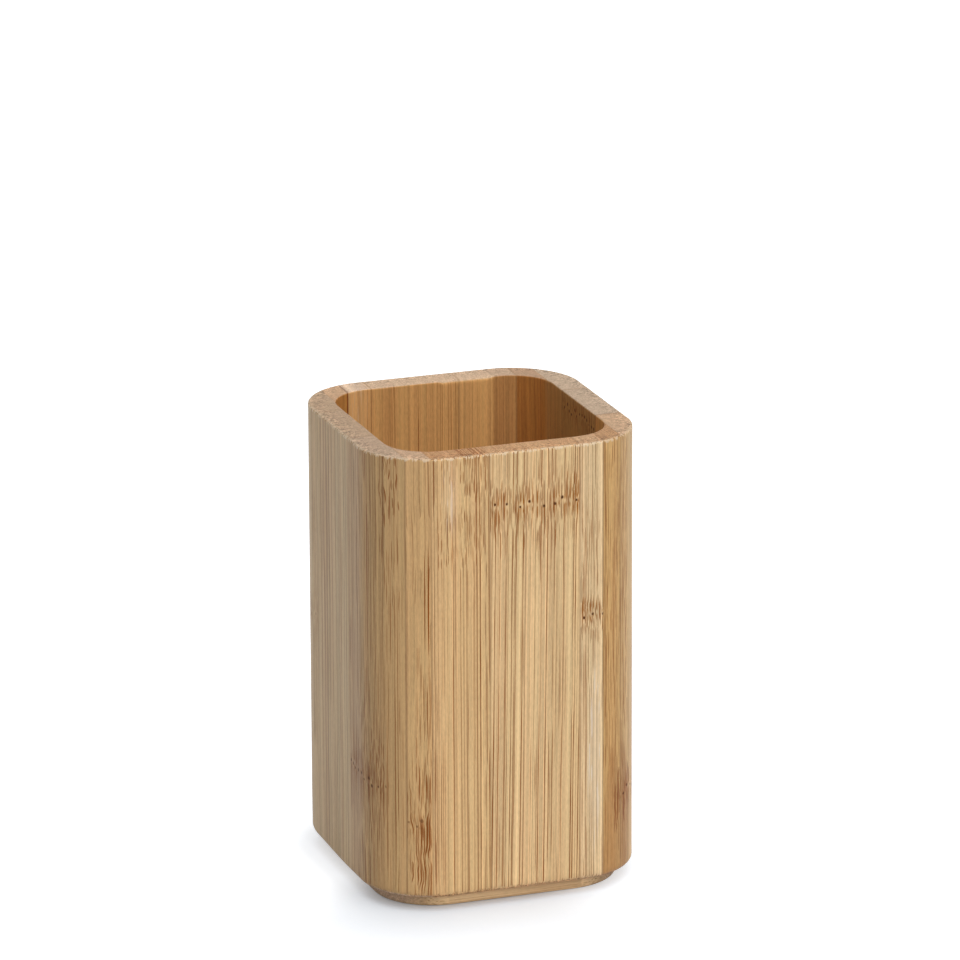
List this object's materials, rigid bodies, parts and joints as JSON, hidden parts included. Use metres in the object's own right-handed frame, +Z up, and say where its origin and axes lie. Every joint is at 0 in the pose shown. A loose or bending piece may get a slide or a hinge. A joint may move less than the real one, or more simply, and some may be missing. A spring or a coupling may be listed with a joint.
{
  "type": "toothbrush tumbler",
  "caption": "Square free-standing bamboo tumbler with milled round corners, glued strip walls and a thin inset base, for holding toothbrushes.",
  "frame": {"origin": "middle of the underside of the base board, on the surface that the tumbler stands on", "axes": "+Z up, towards the open rim; -Y is the front face of the picture; +X is to the right seen from the front"},
  "size_m": [0.066, 0.066, 0.109],
  "materials": {
    "left_plank_front_strip": "satin oiled bamboo, grain upright",
    "left_plank_middle_strip": "satin oiled bamboo, grain upright",
    "left_plank_rear_strip": "satin oiled bamboo, grain upright",
    "right_plank_front_strip": "satin oiled bamboo, grain upright",
    "right_plank_middle_strip": "satin oiled bamboo, grain upright",
    "right_plank_rear_strip": "satin oiled bamboo, grain upright",
    "front_board_left_strip": "satin oiled bamboo, grain upright",
    "front_board_middle_strip": "satin oiled bamboo, grain upright",
    "front_board_right_strip": "satin oiled bamboo, grain upright",
    "rear_board_left_strip": "satin oiled bamboo, grain upright",
    "rear_board_middle_strip": "satin oiled bamboo, grain upright",
    "rear_board_right_strip": "satin oiled bamboo, grain upright",
    "corner_block_front_left": "satin oiled bamboo, grain upright",
    "corner_block_front_right": "satin oiled bamboo, grain upright",
    "corner_block_rear_left": "satin oiled bamboo, grain upright",
    "corner_block_rear_right": "satin oiled bamboo, grain upright",
    "base_front_strip": "satin oiled bamboo, grain across the front",
    "base_middle_strip": "satin oiled bamboo, grain across the front",
    "base_rear_strip": "satin oiled bamboo, grain across the front"
  },
  "bodies": {
    "root": {"left_plank_front_strip": "left_plank_front_strip", "left_plank_middle_strip": "left_plank_middle_strip", "left_plank_rear_strip": "left_plank_rear_strip", "right_plank_front_strip": "right_plank_front_strip", "right_plank_middle_strip": "right_plank_middle_strip", "right_plank_rear_strip": "right_plank_rear_strip", "front_board_left_strip": "front_board_left_strip", "front_board_middle_strip": "front_board_middle_strip", "front_board_right_strip": "front_board_right_strip", "rear_board_left_strip": "rear_board_left_strip", "rear_board_middle_strip": "rear_board_middle_strip", "rear_board_right_strip": "rear_board_right_strip", "corner_block_front_left": "corner_block_front_left", "corner_block_front_right": "corner_block_front_right", "corner_block_rear_left": "corner_block_rear_left", "corner_block_rear_right": "corner_block_rear_right", "base_front_strip": "base_front_strip", "base_middle_strip": "base_middle_strip", "base_rear_strip": "base_rear_strip"}
  },
  "joints": []
}
